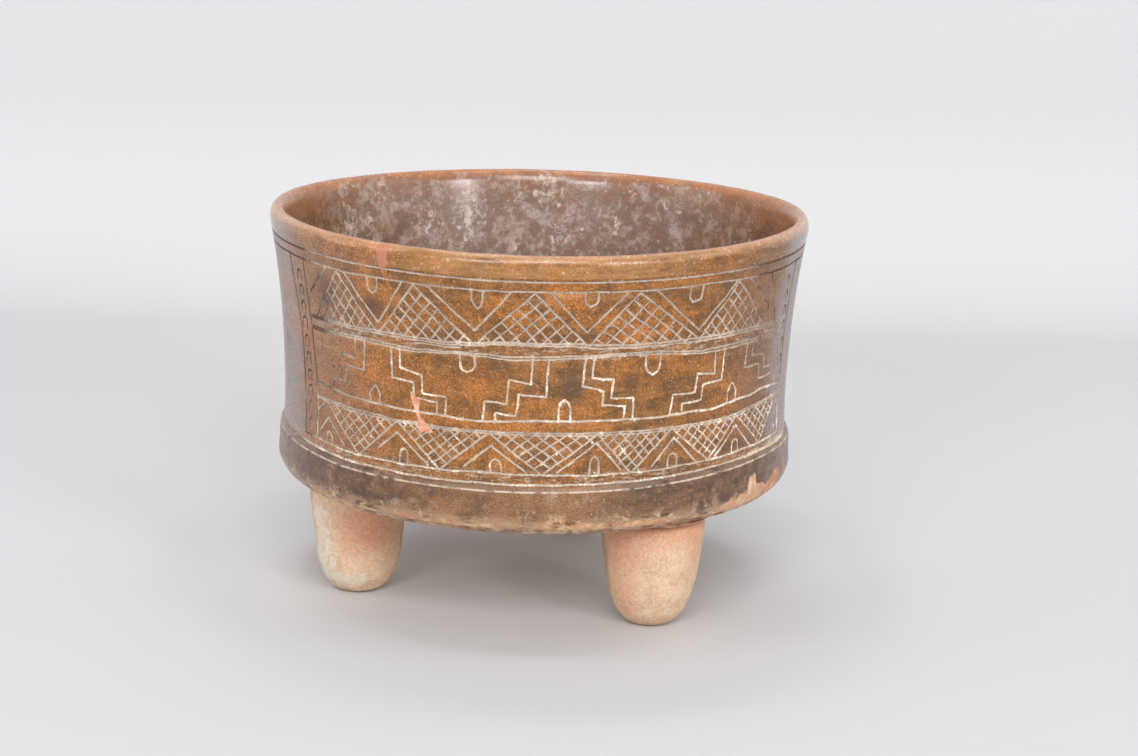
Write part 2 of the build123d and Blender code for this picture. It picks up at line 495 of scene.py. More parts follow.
def incised_half(panel):
    """Half of the wall's outside with its strokes cut in, still unrolled."""
    bm = sheet_of_clay()
    layers = new_layers(bm, "line", "pale", "flaked")
    cut_strokes(bm, panel)
    bm.verts.ensure_lookup_table()
    points = np.array([v.co[:2] for v in bm.verts])
    levels = stroke_levels(points, panel)
    flakes = np.clip(inside_outline(points, flake_outline) / (2 * flake_edge) + 0.5, 0.0, 1.0)
    for v, level, flake in zip(bm.verts, levels, flakes):
        bearing = math.degrees(v.co.x / roll_radius)
        pale = paleness(bearing, v.co.y)
        v[layers["line"]] = level
        v[layers["pale"]] = pale
        v[layers["flaked"]] = flake
        depth = open_depth + (filled_depth - open_depth) * pale
        v.co.z = -max(level * depth, flake * flake_depth, 0.0)
    crease_strokes(bm, layers["line"])
    return bm


def crease_strokes(bm, line):
    """Keeps a sharp edge where the burnished skin breaks down into a stroke."""
    for edge in bm.edges:
        if max(v[line] for v in edge.verts) < 0.02:
            sides = [[v[line] for v in face.verts] for face in edge.link_faces]
            if any(min(levels) < 0.02 and max(levels) > 0.5 for levels in sides):
                edge.smooth = False


def outward_at(v):
    """The level direction from the axis to a point."""
    return Vector((v.co.x, v.co.y, 0.0)).normalized()


def roll_up(bm):
    """Bends the unrolled sheet round the vessel's axis, on the wall's hollow curve."""
    for v in bm.verts:
        angle = v.co.x / roll_radius
        radius = seat_radius if v.co.y < seat_top_z else wall_radius(v.co.y)
        radius += v.co.z
        v.co = Vector((radius * math.sin(angle), -radius * math.cos(angle), v.co.y))


def shaky_hand(bm):
    """Lets the cut lines wander by a few tenths of a millimetre, but not at the sheet's edges."""
    for v in bm.verts:
        z = v.co.z
        amount = 0.3 * ease(sheet_low_z, 61.0, z) * (1 - ease(133.0, 135.4, z))
        if amount > 0.0:
            drift = noise.noise_vector(v.co / 6.5) + 0.6 * noise.noise_vector(v.co / 2.6)
            drift += 0.8 * noise.noise_vector(v.co / 17.0)
            outward = outward_at(v)
            drift -= outward * drift.dot(outward)
            v.co += drift * amount


def dry_out(bm):
    """The clay settles as it dries: the rim dips at front and back, and the wall bulges a little."""
    bulge, shrinkage = 0.17, 0.2
    front_dip, back_dip = 0.7, 0.23
    for v in bm.verts:
        flat = Vector((v.co.x, v.co.y, 0.0))
        radius = flat.length
        if radius < 1e-6:
            continue
        lift = (max(v.co.z, underside_z) - underside_z) / (crest_z - underside_z)
        saddle = (v.co.y ** 2 - v.co.x ** 2) / radius ** 2
        swell = noise.noise(Vector((v.co.x, v.co.y, v.co.z * 1.6)) / 34.0)
        swell += 0.35 * noise.noise(Vector((v.co.x, v.co.y, v.co.z)) / 11.0)
        v.co += flat / radius * (bulge * swell - shrinkage) * min(1.0, radius / 60.0)
        dip = front_dip - (front_dip - back_dip) * max(0.0, v.co.y / radius) ** 2
        v.co.z -= dip * lift * lift * saddle


def profile_edges(bm, points, closed=False):
    """A run of edges through points of the half section, at the bearing where the sheet starts."""
    angle = math.radians(half_start)
    verts = [bm.verts.new((r * math.sin(angle), -r * math.cos(angle), z)) for r, z in points]
    pairs = list(zip(verts, verts[1:]))
    if closed:
        pairs.append((verts[-1], verts[0]))
    return verts + [bm.edges.new(pair) for pair in pairs]


def turn(bm, points, closed=False, steps=2 * half_columns):
    """Turns a profile right round the vessel's axis."""
    geom = profile_edges(bm, points, closed)
    bmesh.ops.spin(bm, geom=geom, cent=(0, 0, 0), axis=(0, 0, 1), dvec=(0, 0, 0),
                   angle=2 * math.pi, steps=steps, use_merge=True)


def close_up(bm):
    """Merges what meets and turns every face outwards."""
    bmesh.ops.remove_doubles(bm, verts=bm.verts, dist=0.004)
    bmesh.ops.recalc_face_normals(bm, faces=bm.faces)


def finish_piece(bm, name, node_names, material, sharp=None):
    """Brings a mesh to metres and makes it a piece that stands for its CAD nodes."""
    bmesh.ops.scale(bm, vec=(MM, MM, MM), verts=bm.verts)
    mesh = bpy.data.meshes.new(name)
    for face in bm.faces:
        face.smooth = True
    if sharp is not None:
        for edge in bm.edges:
            if len(edge.link_faces) == 2 and edge.calc_face_angle() > math.radians(sharp):
                edge.smooth = False
    bm.to_mesh(mesh)
    bm.free()
    mesh.materials.append(material)
    piece = bpy.data.objects.new(name, mesh)
    bpy.context.scene.collection.objects.link(piece)
    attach(piece, "root")
    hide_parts(*node_names)
    return piece


def spread_masks(bm):
    """Writes the masks that follow the place on the vessel: inside, fire clouds with painted shade at
    the limbs, warmth, crust.
    """
    layers = new_layers(bm, "inside", "smoke_and_limb_shade", "warm", "crust")
    for v in bm.verts:
        radius = math.hypot(v.co.x, v.co.y)
        bearing = bearing_of(v.co)
        near_wall = wall_radius(max(v.co.z, underside_z + 1.0), wall_thickness / 2)
        v[layers["inside"]] = 1.0 if radius < near_wall and v.co.z > floor_top_z - 1.0 else 0.0
        turned = on_front_half(bearing)
        v[layers["smoke_and_limb_shade"]] = cloud(fire_clouds_and_limb_shade, turned, v.co.z)
        v[layers["warm"]] = cloud(warm_patches, turned, v.co.z)
        lumps = 0.5 + 0.5 * noise.noise(v.co / 3.0)
        reach = ease(44.0, 56.0, bearing) * (1 - ease(72.0, 84.0, bearing))
        height = band_lift(bearing) + band_ring_z - 0.3
        v[layers["crust"]] = reach * math.exp(-((v.co.z - height) / 1.9) ** 2) * (0.3 + 1.3 * lumps)


def cut_panel():
    """All the strokes of one panel, in the order that the hand draws them."""
    panel = Panel(7)
    level_lines(panel)
    upper_register(panel)
    step_register(panel)
    lower_register(panel)
    borders(panel)
    return panel


def add_back_half(bm):
    """Repeats the front half of the sheet for the back, without the flake."""
    twin = bmesh.ops.duplicate(bm, geom=bm.verts[:] + bm.edges[:] + bm.faces[:])
    verts = [g for g in twin["geom"] if isinstance(g, bmesh.types.BMVert)]
    bmesh.ops.translate(bm, vec=(math.pi * roll_radius, 0.0, 0.0), verts=verts)
    line = bm.verts.layers.float["line"]
    flaked = bm.verts.layers.float["flaked"]
    for v in verts:
        if v[flaked] > 0.0 and v[line] <= 0.0:
            v.co.z = 0.0
        v[flaked] = 0.0


def make_wall(material):
    """The wall: two rolled-up halves of incised sheet outside, one plain turned face inside."""
    bm = incised_half(cut_panel())
    add_back_half(bm)
    roll_up(bm)
    shaky_hand(bm)
    inner = [(seat_radius, sheet_low_z), (seat_radius, floor_top_z)]
    rows = 26
    for k in range(rows + 1):
        z = floor_top_z + (seam_z - floor_top_z) * k / rows
        inner.append((wall_radius(z, wall_thickness), z))
    inner.append((wall_radius(seam_z), seam_z))
    turn(bm, inner)
    close_up(bm)
    for edge in bm.edges:
        if min(v.co.z for v in edge.verts) > seam_z - 0.01:
            edge.smooth = False
    spread_masks(bm)
    crust = bm.verts.layers.float["crust"]
    for v in bm.verts:
        if v[crust] > 0.05:
            v.co += outward_at(v) * 0.5 * v[crust]
    dry_out(bm)
    return finish_piece(bm, "wall_incised", ["wall"], material)


def make_rim(material):
    """The rim coil: on up from the wall, over the leaning rounded lip and down inside."""
    bm = bmesh.new()
    lip_z = crest_z - 6.0
    lean = math.asin((lip_z - waist_z) / (flare_radius + lip_half_width))
    centre = Vector((wall_radius(lip_z, lip_half_width), lip_z))
    points = [(wall_radius(z), z) for z in (seam_z, seam_z + 1.0)]
    for k in range(17):
        t = math.pi * k / 16
        x = lip_half_width * math.cos(t)
        y = lip_reach * math.sin(t) * (0.96 + 0.04 * math.cos(2 * t))
        points.append((centre.x + x * math.cos(lean) + y * math.sin(lean),
                       centre.y - x * math.sin(lean) + y * math.cos(lean)))
    points.append((wall_radius(seam_z, wall_thickness), seam_z))
    turn(bm, points, closed=True)
    close_up(bm)
    spread_masks(bm)
    worn_from = lip_z - 0.5
    for v in bm.verts:
        if v.co.z > worn_from:
            worn = noise.noise(v.co / 7.0) * 0.12 - 0.08
            v.co.z += min(0.0, worn) * ease(worn_from, 142.0, v.co.z)
    dry_out(bm)
    return finish_piece(bm, "rim_coil_rolled", ["rim_coil"], material, sharp=60)


def worn_corner(turned, proud):
    """The rounded lower corner that the band and the floor share, from its side to underneath."""
    return (corner_centre[0] + (corner_reach[0] + proud) * math.cos(turned),
            corner_centre[1] - (corner_reach[1] + proud) * math.sin(turned))


def make_band(material):
    """The band round the foot of the wall, with its sloping shoulder and rounded lower edge."""
    bm = bmesh.new()
    crease_z = 60.35
    points = [(seat_radius - 0.35, 62.2), (seat_radius + 0.25, 61.9), (95.55, 60.95),
              (95.98, crease_z), (96.16, 59.7), (96.25, 57.5), (96.4, 55.2), (96.56, 53.4)]
    for k in range(1, 7):
        points.append(worn_corner(math.radians(corner_step * k), 0.14))
    points += [(seat_radius - 0.6, 46.5), (seat_radius - 0.35, 54.0)]
    turn(bm, points, closed=True)
    close_up(bm)
    spread_masks(bm)
    crust = bm.verts.layers.float["crust"]
    layers = new_layers(bm, "crease", "shelf")
    for v in bm.verts:
        v[layers["crease"]] = 1.0 if abs(v.co.z - crease_z) < 0.1 else 0.0
        v[layers["shelf"]] = 1.0 if v.co.z > crease_z + 0.25 else 0.0
        outward = outward_at(v)
        rise = ease(54.0, 60.5, v.co.z)
        v.co.z += band_lift(bearing_of(v.co)) * rise
        lumps = noise.noise(v.co / 9.0) * 0.16 + noise.noise(v.co / 3.2) * 0.07
        outside = ease(seat_radius, seat_radius + 0.8, math.hypot(v.co.x, v.co.y))
        v.co += outward * (lumps * outside + 0.4 * v[crust] * rise)
    dry_out(bm)
    return finish_piece(bm, "basal_band_pressed", ["basal_band"], material, sharp=70)


def make_floor(material):
    """The floor slab: a smoothed underside with a rounded edge, and the floor inside."""
    bm = bmesh.new()
    rings = 14
    inner_reach = 94.0
    points = [(0.0, underside_z)]
    for k in range(1, rings + 1):
        points.append((corner_centre[0] * k / rings, underside_z + 0.4 * (k / rings) ** 6))
    for k in range(1, 9):
        points.append(worn_corner(math.radians(90 - corner_step * k), 0.0))
    points += [(seat_radius, 47.0), (seat_radius, floor_top_z)]
    points += [(inner_reach - inner_reach * k / rings, floor_top_z) for k in range(rings + 1)]
    turn(bm, points)
    close_up(bm)
    spread_masks(bm)
    for v in bm.verts:
        middle = 1 - ease(78.0, 90.0, math.hypot(v.co.x, v.co.y))
        v.co.z += 0.28 * noise.noise(v.co / 19.0) * middle
        v.co.z += 0.1 * noise.noise(v.co / 6.0) * middle
    dry_out(bm)
    return finish_piece(bm, "floor_slab_smoothed", ["floor_slab"], material, sharp=50)


def make_corner(material):
    """The coil smoothed into the corner between floor and wall."""
    bm = bmesh.new()
    foot = wall_radius(floor_top_z, wall_thickness)
    size = 5.4
    head_z = floor_top_z + size
    points = [(foot - size, floor_top_z - 0.1)]
    for k in range(1, 7):
        t = k / 7
        points.append((foot - size + 5.5 * t ** 1.7, floor_top_z + size * t ** 2.2))
    points += [(wall_radius(head_z, wall_thickness) + 0.05, head_z), (foot + 0.4, floor_top_z - 0.1)]
    turn(bm, points, closed=True)
    close_up(bm)
    spread_masks(bm)
    for v in bm.verts:
        v.co.z += 0.2 * noise.noise(v.co / 8.0) * ease(floor_top_z, floor_top_z + 2.0, v.co.z)
    dry_out(bm)
    return finish_piece(bm, "corner_coil_smoothed", ["corner_coil"], material, sharp=70)


# Each foot: its place, and its profile from the ground up
foot_places = {"right": (43.465, -51.984), "left": (-64.937, -19.358), "back": (19.585, 64.869)}
foot_profiles = {
    "right": [(3.4, 0.0), (6.6, 0.55), (9.7, 2.4), (13.1, 6.8), (15.6, 13.3), (16.9, 19.7),
              (17.9, 28.3), (18.9, 36.0), (19.7, foot_top_z)],
    "left": [(4.4, 0.0), (8.0, 0.45), (10.9, 2.4), (13.8, 7.0), (15.4, 11.7), (16.1, 16.5),
             (17.2, 24.8), (18.4, 34.0), (19.4, foot_top_z)],
    "back": [(4.0, 0.0), (7.3, 0.5), (10.4, 2.4), (13.5, 7.0), (15.5, 12.5), (16.5, 18.0),
             (17.5, 26.5), (18.6, 35.0), (19.5, foot_top_z)],
}

# Marks on each foot: bearing round the foot, height, spread each way and strength
foot_marks = {
    "blush": {
        "right": [(-40, 28, 36, 14, 0.8), (-40, 9, 24, 6, 0.7), (10, 41, 60, 6, 1.0),
                  (60, 30, 25, 12, 0.6)],
        "left": [(4, 31, 32, 11, 0.85), (38, 25, 28, 13, 0.7), (-12, 20, 28, 8, 0.35)],
        "back": [(160, 28, 40, 10, 0.9), (-120, 20, 40, 9, 0.5)],
    },
    "chalk": {
        "right": [(10, 6, 50, 6, 0.6), (20, 22, 30, 8, 0.35)],
        "left": [(-52, 29, 20, 13, 1.3), (-58, 12, 34, 10, 1.1), (10, 6, 60, 6, 0.9)],
        "back": [(-170, 10, 60, 8, 0.7)],
    },
    # Painted shade: darker clay round each foot's top under the bowl and on flanks turned in under it
    "foot_shade": {
        "right": [(-76, 26, 18, 16, 0.9), (-20, 43, 90, 2.2, 0.7), (80, 38, 30, 8, 0.4)],
        "left": [(60, 40, 40, 7, 0.9), (-30, 43, 60, 2.2, 0.7), (-75, 38, 12, 6, 0.5)],
        "back": [(180, 43, 120, 2.4, 0.8)],
    },
}


def make_foot(name, material):
    """A solid nub foot, pinched and smoothed by hand, rounded at the ground."""
    bm = bmesh.new()
    turn(bm, [(0.0, 0.0)] + foot_profiles[name] + [(0.0, foot_top_z)], steps=28)
    close_up(bm)
    x, y = foot_places[name]
    seed = Vector((x, y, 0.0)) * 0.7
    layers = new_layers(bm, *foot_marks)
    for v in bm.verts:
        turned = bearing_of(v.co)
        for mark, places in foot_marks.items():
            v[layers[mark]] = cloud(places[name], turned, v.co.z)
        if math.hypot(v.co.x, v.co.y) > 1.0 and v.co.z > 0.2:
            lumps = noise.noise(v.co / 15.0 + seed) * 0.7 + noise.noise(v.co / 6.0 + seed) * 0.28
            v.co += outward_at(v) * lumps * (1 - ease(36.0, foot_top_z, v.co.z))
    bmesh.ops.translate(bm, vec=(x, y, 0.0), verts=bm.verts)
    for edge in bm.edges:
        if all(v.co.z > foot_top_z - 0.1 for v in edge.verts) and edge.calc_face_angle() > 0.8:
            edge.smooth = False
    piece = finish_piece(bm, "foot_" + name + "_nub", ["foot_" + name], material)
    swell = piece.modifiers.new("rounding", "SUBSURF")
    swell.levels = 3
    swell.render_levels = 3
    return piece


def make_lute(name, material):
    """The smear of wet clay that holds a foot to the floor."""
    bm = bmesh.new()
    points = [(0.0, 41.0), (18.6, 41.0), (19.55, 41.35), (20.0, 42.0), (20.7, 42.6), (21.6, 43.0),
              (21.6, 43.3), (0.0, 43.3)]
    turn(bm, points, steps=56)
    close_up(bm)
    x, y = foot_places[name]
    for v in bm.verts:
        if math.hypot(v.co.x, v.co.y) > 17.0:
            smear = 0.5 * noise.noise(Vector((v.co.x, v.co.y, 9.0 + x)) / 7.0)
            v.co += outward_at(v) * smear * ease(41.2, underside_z, v.co.z)
    bmesh.ops.translate(bm, vec=(x, y, 0.0), verts=bm.verts)
    return finish_piece(bm, "lute_" + name + "_smear", ["lute_" + name], material,
                        sharp=60)


def seen(red, green, blue):
    """A colour as it is seen on a screen, from 0 to 255, made linear."""
    parts = []
    for value in (red, green, blue):
        share = value / 255
        parts.append(share / 12.92 if share <= 0.04045 else ((share + 0.055) / 1.055) ** 2.4)
    return (*parts, 1.0)


def feed(tree, socket, value):
    """Links a socket or sets its value."""
    if isinstance(value, bpy.types.NodeSocket):
        tree.links.new(value, socket)
    else:
        socket.default_value = value


def maths(tree, operation, first, second=None, third=None, clamp=False):
    """One step of reckoning on sockets or numbers."""
    node = tree.nodes.new("ShaderNodeMath")
    node.operation = operation
    node.use_clamp = clamp
    for socket, value in zip(node.inputs, (first, second, third)):
        if value is not None:
            feed(tree, socket, value)
    return node.outputs[0]


def times(tree, first, *others):
    """The product of masks and numbers."""
    for other in others:
        first = maths(tree, "MULTIPLY", first, other)
    return first


def scaled(tree, value, factor, added):
    """A value times a factor, with something added."""
    return maths(tree, "MULTIPLY_ADD", value, factor, added)


def most(tree, first, second):
    """The larger of two masks."""
    return maths(tree, "MAXIMUM", first, second)


def apart(tree, value, level):
    """How far a value is from a level, either way."""
    return maths(tree, "ABSOLUTE", maths(tree, "SUBTRACT", value, level))


def less(tree, value):
    """One less a mask."""
    return maths(tree, "SUBTRACT", 1.0, value)


def blend(tree, share, first, second):
    """One colour over another by a share."""
    node = tree.nodes.new("ShaderNodeMix")
    node.data_type = "RGBA"
    feed(tree, node.inputs[0], share)
    feed(tree, node.inputs[6], first)
    feed(tree, node.inputs[7], second)
    return node.outputs[2]


def coat(tree, colour, tint, share, *others):
    """A thin coat over a colour, as strong as the product of its shares."""
    return blend(tree, times(tree, share, *others), colour, seen(*tint))


def ramp(tree, value, low, high):
    """A smooth mask from 0 at low to 1 at high."""
    node = tree.nodes.new("ShaderNodeMapRange")
    node.interpolation_type = "SMOOTHSTEP"
    feed(tree, node.inputs["Value"], value)
    feed(tree, node.inputs["From Min"], low)
    feed(tree, node.inputs["From Max"], high)
    return node.outputs["Result"]


def fall(tree, value, low, high):
    """A smooth mask from 1 at low to 0 at high."""
    return less(tree, ramp(tree, value, low, high))


def mottle(tree, place, scale, detail=3.0, roughness=0.5, distortion=0.0):
    """Soft mottling, finer where the scale is larger."""
    node = tree.nodes.new("ShaderNodeTexNoise")
    feed(tree, node.inputs["Vector"], place)
    feed(tree, node.inputs["Scale"], scale)
    feed(tree, node.inputs["Detail"], detail)
    feed(tree, node.inputs["Roughness"], roughness)
    feed(tree, node.inputs["Distortion"], distortion)
    return node.outputs["Fac"]


def place_on_piece(tree):
    """The place on the piece, in metres."""
    return tree.nodes.new("ShaderNodeTexCoord").outputs["Object"]


def drawn_out(tree, factor):
    """Places on the piece squeezed upright, so that marks run level round the vessel."""
    node = tree.nodes.new("ShaderNodeVectorMath")
    node.operation = "MULTIPLY"
    tree.links.new(place_on_piece(tree), node.inputs[0])
    node.inputs[1].default_value = (1.0, 1.0, factor)
    return node.outputs[0]


def mask(tree, name):
    """A mask written on the piece's points."""
    node = tree.nodes.new("ShaderNodeAttribute")
    node.attribute_name = name
    return node.outputs["Fac"]


def new_group(name, inputs, outputs):
    """An empty group of nodes with its sockets, given and result."""
    tree = bpy.data.node_groups.new(name, "ShaderNodeTree")
    for label, value in inputs:
        socket = tree.interface.new_socket(label, in_out="INPUT", socket_type="NodeSocketFloat")
        socket.default_value = value
    for label in outputs:
        tree.interface.new_socket(label, in_out="OUTPUT", socket_type="NodeSocketFloat")
    return tree, tree.nodes.new("NodeGroupInput"), tree.nodes.new("NodeGroupOutput")


def bearing_group():
    """Where a point is on the vessel: its bearing in degrees, its height and radius in millimetres."""
    tree, _, result = new_group("place on the vessel", [], ["Bearing", "Height", "Radius"])
    split = tree.nodes.new("ShaderNodeSeparateXYZ")
    tree.links.new(place_on_piece(tree), split.inputs[0])
    x, y, z = [split.outputs[label] for label in "XYZ"]
    angle = maths(tree, "ARCTAN2", x, times(tree, y, -1.0))
    feed(tree, result.inputs["Bearing"], maths(tree, "DEGREES", angle))
    feed(tree, result.inputs["Height"], times(tree, z, 1 / MM))
    radius = maths(tree, "SQRT", scaled(tree, y, y, times(tree, x, x)))
    feed(tree, result.inputs["Radius"], times(tree, radius, 1 / MM))
    return tree


def crackle_group():
    """Fired slip close to: grains parted by a net of fine cracks, and pits."""
    tree, given, result = new_group("fired crackle", [("Cell", 900.0)], ["Grain", "Net", "Height"])
    place = place_on_piece(tree)
    bent = tree.nodes.new("ShaderNodeTexNoise")
    tree.links.new(place, bent.inputs["Vector"])
    bent.inputs["Scale"].default_value = 600.0
    wander = tree.nodes.new("ShaderNodeVectorMath")
    wander.operation = "MULTIPLY_ADD"
    tree.links.new(bent.outputs["Color"], wander.inputs[0])
    wander.inputs[1].default_value = (0.0014, 0.0014, 0.0014)
    tree.links.new(place, wander.inputs[2])
    net = tree.nodes.new("ShaderNodeTexVoronoi")
    net.feature = "DISTANCE_TO_EDGE"
    tree.links.new(wander.outputs[0], net.inputs["Vector"])
    tree.links.new(given.outputs["Cell"], net.inputs["Scale"])
    crack = ramp(tree, net.outputs["Distance"], 0.02, 0.2)
    coarse = mottle(tree, place, given.outputs["Cell"], 3.0, 0.7)
    feed(tree, result.inputs["Grain"], ramp(tree, coarse, 0.43, 0.6))
    feed(tree, result.inputs["Net"], less(tree, crack))
    feed(tree, result.inputs["Height"], scaled(tree, crack, 0.5, coarse))
    return tree


def blotch_group():
    """Ragged blotches, such as deposits or flaked slip: Cover is how much of the surface they take."""
    tree, given, result = new_group("ragged blotches",
                                    [("Scale", 60.0), ("Cover", 0.3), ("Edge", 0.06)], ["Mask"])
    large = mottle(tree, place_on_piece(tree), given.outputs["Scale"], 7.0, 0.68, 0.2)
    start = maths(tree, "SUBTRACT", 0.7, maths(tree, "MULTIPLY", given.outputs["Cover"], 0.4))
    end = maths(tree, "ADD", start, given.outputs["Edge"])
    feed(tree, result.inputs["Mask"], ramp(tree, large, start, end))
    return tree


def streak_group(places):
    """The pink run of thin clay down the rim at the left of the front."""
    tree, _, result = new_group("pink run", [], ["Mask"])
    where = placed(tree, places)
    rough = mottle(tree, place_on_piece(tree), 420.0, 4.0, 0.7)
    half = maths(tree, "MINIMUM", scaled(tree, where.outputs["Height"], 0.28, -37.0), 1.35)
    half = scaled(tree, rough, 0.8, maths(tree, "SUBTRACT", half, 0.4))
    off = apart(tree, where.outputs["Bearing"], -32.3)
    run = ramp(tree, maths(tree, "SUBTRACT", half, off), -0.1, 0.35)
    feed(tree, result.inputs["Mask"], times(tree, run, less(tree, mask(tree, "inside"))))
    return tree


def placed(tree, group, **values):
    """A group set into a tree, with values for its sockets."""
    node = tree.nodes.new("ShaderNodeGroup")
    node.node_tree = group
    for name, value in values.items():
        feed(tree, node.inputs[name], value)
    return node


def blotches(tree, groups, scale, cover, edge):
    """The mask of ragged blotches at a scale."""
    node = placed(tree, groups["blotch"], Scale=scale, Cover=cover, Edge=edge)
    return node.outputs["Mask"]


def new_material(name, roughness, specular=0.5):
    """A material with one shader, evenly rough."""
    material = bpy.data.materials.new(name)
    material.use_nodes = True
    tree = material.node_tree
    shader = tree.nodes["Principled BSDF"]
    shader.inputs["Specular IOR Level"].default_value = specular
    shader.inputs["Roughness"].default_value = roughness
    return material, tree, shader


def finish_skin(tree, shader, colour, height, strength, distance, rough=None):
    """Gives a shader its colour, its roughness where that varies, and its fine relief."""
    tree.links.new(colour, shader.inputs["Base Color"])
    if rough is not None:
        tree.links.new(rough, shader.inputs["Roughness"])
    bump = tree.nodes.new("ShaderNodeBump")
    bump.inputs["Strength"].default_value = strength
    bump.inputs["Distance"].default_value = distance
    feed(tree, bump.inputs["Height"], height)
    tree.links.new(bump.outputs["Normal"], shader.inputs["Normal"])


def burnished_ground(tree, crackle, broad, small, level):
    """Brown slip with orange grains that shine through it."""
    tone = scaled(tree, small, 0.7, times(tree, level, 0.3))
    colour = blend(tree, ramp(tree, tone, 0.4, 0.6), seen(112, 76, 38), seen(166, 108, 48))
    warm = scaled(tree, mask(tree, "warm"), 0.8, ramp(tree, broad, 0.46, 0.74))
    grain = scaled(tree, crackle.outputs["Grain"], 0.75, 0.25)
    shine = times(tree, grain, ramp(tree, tone, 0.34, 0.56))
    orange = maths(tree, "MULTIPLY", warm, shine, clamp=True)
    return coat(tree, colour, (218, 129, 36), orange)


def painted_side_sheen(tree, bearing, small, colour):
    """A painted sheen over both sides of the panel, paler on the left."""
    haze = ramp(tree, apart(tree, bearing, 4.0), 30.0, 60.0)
    haze = times(tree, haze, scaled(tree, small, 1.2, 0.1))
    side_sheen_tint = blend(tree, ramp(tree, bearing, -10.0, 10.0), seen(174, 128, 100), seen(132, 96, 74))
    return blend(tree, haze, colour, side_sheen_tint)


def plain_gaps(tree, bearing, broad, small, colour):
    """A painted grey-blue sheen in the plain gaps between the panels, with the mask of the slip
    outside them.
    """
    off_side = apart(tree, apart(tree, bearing, 0.0), 90.0)
    off_side = scaled(tree, small, 12.0, scaled(tree, broad, 10.0, off_side))
    gap = fall(tree, off_side, 34.0, 43.0)
    # Painted reflection: the bluish grey laid over the gaps
    gap_sheen = scaled(tree, ramp(tree, broad, 0.5, 0.62), -0.3, 0.88)
    colour = coat(tree, colour, (146, 134, 133), gap, gap_sheen)
    return colour, scaled(tree, gap, -0.8, 1.0)


def burnished(tree, groups):
    """The brown burnished slip: orange grains shine through it and fire clouds darken it, with painted
    sheen towards the sides and in the plain gaps and painted shade at the limbs.
    """
    place = place_on_piece(tree)
    bearing = placed(tree, groups["place"]).outputs["Bearing"]
    crackle = placed(tree, groups["crackle"], Cell=980.0)
    broad = mottle(tree, place, 24.0, 4.0, 0.6, 0.3)
    small = mottle(tree, place, 130.0, 5.0, 0.7)
    level = mottle(tree, drawn_out(tree, 7.0), 45.0, 4.0, 0.6)
    colour = burnished_ground(tree, crackle, broad, small, level)
    # Painted sheen towards both sides of the panel
    colour = painted_side_sheen(tree, bearing, small, colour)
    # Painted sheen in the plain gaps
    colour, open_skin = plain_gaps(tree, bearing, broad, small, colour)
    net = times(tree, crackle.outputs["Net"], open_skin, 0.6)
    colour = coat(tree, colour, (84, 56, 30), net)
    light = ramp(tree, mottle(tree, place, 1250.0, 2.0, 0.6), 0.58, 0.72)
    colour = coat(tree, colour, (226, 164, 96), light, open_skin, 0.5)
    colour = coat(tree, colour, (186, 150, 122), ramp(tree, level, 0.54, 0.7), 0.16)
    # Fire clouds darken the slip; at the limbs this darkening is painted shade
    smoke_and_limb_shade = scaled(tree, small, 1.6, maths(tree, "SUBTRACT", mask(tree, "smoke_and_limb_shade"), 1.2))
    smoke_and_limb_shade = times(tree, ramp(tree, smoke_and_limb_shade, -0.15, 0.55), 0.8)
    colour = coat(tree, colour, (84, 62, 48), smoke_and_limb_shade)
    crumbs = times(tree, blotches(tree, groups, 800.0, 0.2, 0.08), open_skin, 0.6)
    colour = coat(tree, colour, (214, 192, 168), crumbs)
    skin = times(tree, open_skin, scaled(tree, mask(tree, "inside"), -0.8, 1.0))
    return colour, crackle.outputs["Grain"], times(tree, skin, crackle.outputs["Height"])


def inside_slip(tree, place, level, fine, middle, grey, height):
    """The inside's brown slip: redder near the rim, and grey with haze at the back."""
    slip = blend(tree, ramp(tree, middle, 0.38, 0.62), seen(98, 68, 50), seen(140, 94, 60))
    near_rim = ramp(tree, scaled(tree, level, 30.0, height), 144.0, 160.0)
    slip = coat(tree, slip, (166, 106, 56), near_rim, 0.75)
    slip = coat(tree, slip, (156, 116, 86), ramp(tree, fine, 0.4, 0.6), 0.35)
    slip = coat(tree, slip, (137, 116, 106), grey, 0.75)
    red = times(tree, grey, ramp(tree, mottle(tree, place, 80.0, 5.0, 0.7), 0.48, 0.62), 0.3)
    slip = coat(tree, slip, (150, 102, 74), red)
    slip = coat(tree, slip, (158, 100, 60), near_rim, 0.45)
    haze = times(tree, grey, ramp(tree, scaled(tree, fine, 0.7, middle), 0.8, 1.05))
    return coat(tree, slip, (186, 171, 163), haze, 0.75)


def inside_deposits(tree, groups, place, settled):
    """The mask of the pale mineral inside: thick where it settled, with spots and flecks."""
    flock = times(tree, settled, ramp(tree, mottle(tree, place, 60.0, 4.0, 0.6), 0.44, 0.62))
    spots = blotches(tree, groups, 250.0, scaled(tree, flock, 0.5, 0.06), 0.14)
    flecks = blotches(tree, groups, 620.0, scaled(tree, flock, 0.3, 0.14), 0.12)
    return most(tree, times(tree, spots, 0.75), times(tree, flecks, 0.6))


